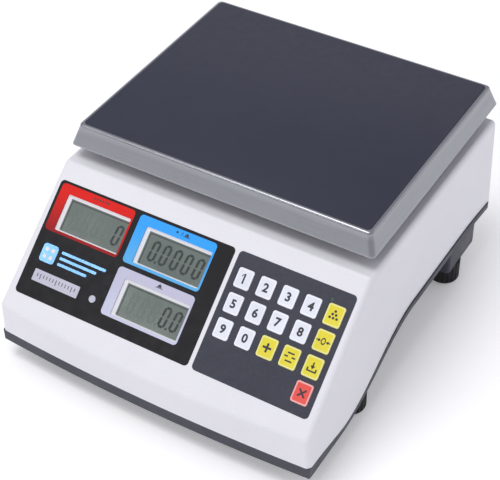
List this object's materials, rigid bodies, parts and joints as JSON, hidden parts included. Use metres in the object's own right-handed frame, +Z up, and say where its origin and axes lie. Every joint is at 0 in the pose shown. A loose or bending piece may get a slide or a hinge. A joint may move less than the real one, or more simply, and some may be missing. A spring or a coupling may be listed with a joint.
{
  "type": "counting scale",
  "caption": "Bench counting scale with a flat steel pan, sloped panel with displays and keys, arched casing and levelling feet.",
  "frame": {"origin": "on the table, under the middle of the bounding box", "axes": "+Z up, +Y from the front panel to the back wall, +X to the right as the user faces the panel"},
  "size_m": [0.3232, 0.3729, 0.194],
  "materials": {
    "casing_white": "fine moulded texture, satin",
    "tray_charcoal": "moulded charcoal plastic",
    "pan_steel": "brushed stainless steel",
    "pan_film": "smooth dark film",
    "cast_alloy": "as cast",
    "beam_alloy": "milled",
    "plate_steel": "zinc grey paint",
    "fastener_steel": "bright zinc",
    "black_screw": "black oxide",
    "brass": "machined",
    "rubber_black": "matt rubber",
    "overlay_black": "printed film, semi gloss",
    "overlay_slate": "printed film, fine grain",
    "frame_red": "printed film",
    "frame_blue": "printed film",
    "frame_grey": "printed film",
    "bezel_white": "moulded, smooth",
    "lcd_glass": "reflective display glass",
    "holder_black": "moulded",
    "key_white": "printed film",
    "key_yellow": "printed film",
    "key_red": "printed film",
    "led_green": "diffused lens",
    "badge_blue": "foil",
    "label_grey": "foil",
    "board_green": "solder mask",
    "switch_black": "moulded",
    "battery_grey": "moulded",
    "core_brown": "varnished laminations",
    "fitting_black": "moulded",
    "level_green": "clear tinted plastic",
    "foot_black": "fluted black plastic"
  },
  "bodies": {
    "casing": {"top_cover": "casing_white", "base_tray": "tray_charcoal", "pan_support": "cast_alloy", "pan_cushions": "rubber_black", "load_cell": "beam_alloy", "lower_spacer": "plate_steel", "upper_spacer": "plate_steel", "base_plate": "plate_steel", "load_cell_bolts": "black_screw", "overload_stop": "brass", "display_overlay": "overlay_black", "red_frame": "frame_red", "blue_frame": "frame_blue", "grey_frame": "frame_grey", "lcd_bezels": "bezel_white", "lcd_panels": "lcd_glass", "lcd_holders": "holder_black", "keypad_overlay": "overlay_slate", "status_led": "led_green", "name_badge": "badge_blue", "rating_strip": "label_grey", "display_board": "board_green", "key_switches": "switch_black", "main_board": "board_green", "battery": "battery_grey", "battery_strap": "fastener_steel", "battery_door": "tray_charcoal", "transformer": "core_brown", "power_inlet": "fitting_black", "switch_frame": "fitting_black", "bubble_level": "level_green", "case_screws": "fastener_steel", "foot_inserts": "brass"},
    "pan": {"pan": "pan_steel", "pan_film": "pan_film"},
    "power_rocker": {"power_rocker": "fitting_black"},
    "key_1": {"key_1": "key_white"},
    "key_2": {"key_2": "key_white"},
    "key_3": {"key_3": "key_white"},
    "key_4": {"key_4": "key_white"},
    "key_sample": {"key_sample": "key_yellow"},
    "key_5": {"key_5": "key_white"},
    "key_6": {"key_6": "key_white"},
    "key_7": {"key_7": "key_white"},
    "key_8": {"key_8": "key_white"},
    "key_zero": {"key_zero": "key_yellow"},
    "key_9": {"key_9": "key_white"},
    "key_0": {"key_0": "key_white"},
    "key_add": {"key_add": "key_yellow"},
    "key_add_clear": {"key_add_clear": "key_yellow"},
    "key_tare": {"key_tare": "key_yellow"},
    "key_clear": {"key_clear": "key_red"},
    "foot_stud_1": {"foot_stud_1": "fastener_steel"},
    "foot_pad_1": {"foot_pad_1": "foot_black"},
    "foot_stud_2": {"foot_stud_2": "fastener_steel"},
    "foot_pad_2": {"foot_pad_2": "foot_black"},
    "foot_stud_3": {"foot_stud_3": "fastener_steel"},
    "foot_pad_3": {"foot_pad_3": "foot_black"},
    "foot_stud_4": {"foot_stud_4": "fastener_steel"},
    "foot_pad_4": {"foot_pad_4": "foot_black"}
  },
  "joints": [
    {"name": "key_1_press", "type": "slide", "parent": "casing", "child": "key_1", "axis": [0, 0.6428, -0.766], "range_m": [0, 0.0005], "stiffness_N_per_m": 1500, "springref_m": -0.0005},
    {"name": "key_2_press", "type": "slide", "parent": "casing", "child": "key_2", "axis": [0, 0.6428, -0.766], "range_m": [0, 0.0005], "stiffness_N_per_m": 1500, "springref_m": -0.0005},
    {"name": "key_3_press", "type": "slide", "parent": "casing", "child": "key_3", "axis": [0, 0.6428, -0.766], "range_m": [0, 0.0005], "stiffness_N_per_m": 1500, "springref_m": -0.0005},
    {"name": "key_4_press", "type": "slide", "parent": "casing", "child": "key_4", "axis": [0, 0.6428, -0.766], "range_m": [0, 0.0005], "stiffness_N_per_m": 1500, "springref_m": -0.0005},
    {"name": "key_sample_press", "type": "slide", "parent": "casing", "child": "key_sample", "axis": [0, 0.6428, -0.766], "range_m": [0, 0.0005], "stiffness_N_per_m": 1500, "springref_m": -0.0005},
    {"name": "key_5_press", "type": "slide", "parent": "casing", "child": "key_5", "axis": [0, 0.6428, -0.766], "range_m": [0, 0.0005], "stiffness_N_per_m": 1500, "springref_m": -0.0005},
    {"name": "key_6_press", "type": "slide", "parent": "casing", "child": "key_6", "axis": [0, 0.6428, -0.766], "range_m": [0, 0.0005], "stiffness_N_per_m": 1500, "springref_m": -0.0005},
    {"name": "key_7_press", "type": "slide", "parent": "casing", "child": "key_7", "axis": [0, 0.6428, -0.766], "range_m": [0, 0.0005], "stiffness_N_per_m": 1500, "springref_m": -0.0005},
    {"name": "key_8_press", "type": "slide", "parent": "casing", "child": "key_8", "axis": [0, 0.6428, -0.766], "range_m": [0, 0.0005], "stiffness_N_per_m": 1500, "springref_m": -0.0005},
    {"name": "key_zero_press", "type": "slide", "parent": "casing", "child": "key_zero", "axis": [0, 0.6428, -0.766], "range_m": [0, 0.0005], "stiffness_N_per_m": 1500, "springref_m": -0.0005},
    {"name": "key_9_press", "type": "slide", "parent": "casing", "child": "key_9", "axis": [0, 0.6428, -0.766], "range_m": [0, 0.0005], "stiffness_N_per_m": 1500, "springref_m": -0.0005},
    {"name": "key_0_press", "type": "slide", "parent": "casing", "child": "key_0", "axis": [0, 0.6428, -0.766], "range_m": [0, 0.0005], "stiffness_N_per_m": 1500, "springref_m": -0.0005},
    {"name": "key_add_press", "type": "slide", "parent": "casing", "child": "key_add", "axis": [0, 0.6428, -0.766], "range_m": [0, 0.0005], "stiffness_N_per_m": 1500, "springref_m": -0.0005},
    {"name": "key_add_clear_press", "type": "slide", "parent": "casing", "child": "key_add_clear", "axis": [0, 0.6428, -0.766], "range_m": [0, 0.0005], "stiffness_N_per_m": 1500, "springref_m": -0.0005},
    {"name": "key_tare_press", "type": "slide", "parent": "casing", "child": "key_tare", "axis": [0, 0.6428, -0.766], "range_m": [0, 0.0005], "stiffness_N_per_m": 1500, "springref_m": -0.0005},
    {"name": "key_clear_press", "type": "slide", "parent": "casing", "child": "key_clear", "axis": [0, 0.6428, -0.766], "range_m": [0, 0.0005], "stiffness_N_per_m": 1500, "springref_m": -0.0005},
    {"name": "pan_lift_off", "type": "slide", "parent": "casing", "child": "pan", "axis": [0, 0, 1], "range_m": [0, 0.04]},
    {"name": "power_rocker_tilt", "type": "hinge", "parent": "casing", "child": "power_rocker", "pos_m": [0.06, 0.1776, 0.092], "axis": [1, 0, 0], "range_deg": [0, 20]},
    {"name": "foot_1_travel", "type": "slide", "parent": "casing", "child": "foot_stud_1", "axis": [0, 0, -1], "range_m": [0, 0.008]},
    {"name": "foot_1_turn", "type": "hinge", "parent": "foot_stud_1", "child": "foot_pad_1", "pos_m": [-0.1425, -0.073, 0], "axis": [0, 0, -1], "range_deg": [0, 2305]},
    {"name": "foot_2_travel", "type": "slide", "parent": "casing", "child": "foot_stud_2", "axis": [0, 0, -1], "range_m": [0, 0.008]},
    {"name": "foot_2_turn", "type": "hinge", "parent": "foot_stud_2", "child": "foot_pad_2", "pos_m": [0.1425, -0.073, 0], "axis": [0, 0, -1], "range_deg": [0, 2305]},
    {"name": "foot_3_travel", "type": "slide", "parent": "casing", "child": "foot_stud_3", "axis": [0, 0, -1], "range_m": [0, 0.008]},
    {"name": "foot_3_turn", "type": "hinge", "parent": "foot_stud_3", "child": "foot_pad_3", "pos_m": [-0.1425, 0.123, 0], "axis": [0, 0, -1], "range_deg": [0, 2305]},
    {"name": "foot_4_travel", "type": "slide", "parent": "casing", "child": "foot_stud_4", "axis": [0, 0, -1], "range_m": [0, 0.008]},
    {"name": "foot_4_turn", "type": "hinge", "parent": "foot_stud_4", "child": "foot_pad_4", "pos_m": [0.1425, 0.123, 0], "axis": [0, 0, -1], "range_deg": [0, 2305]}
  ],
  "couplings": [
    {"joint": "foot_1_turn", "follows": "foot_1_travel", "rad_per_m": 5026.5},
    {"joint": "foot_2_turn", "follows": "foot_2_travel", "rad_per_m": 5026.5},
    {"joint": "foot_3_turn", "follows": "foot_3_travel", "rad_per_m": 5026.5},
    {"joint": "foot_4_turn", "follows": "foot_4_travel", "rad_per_m": 5026.5}
  ]
}
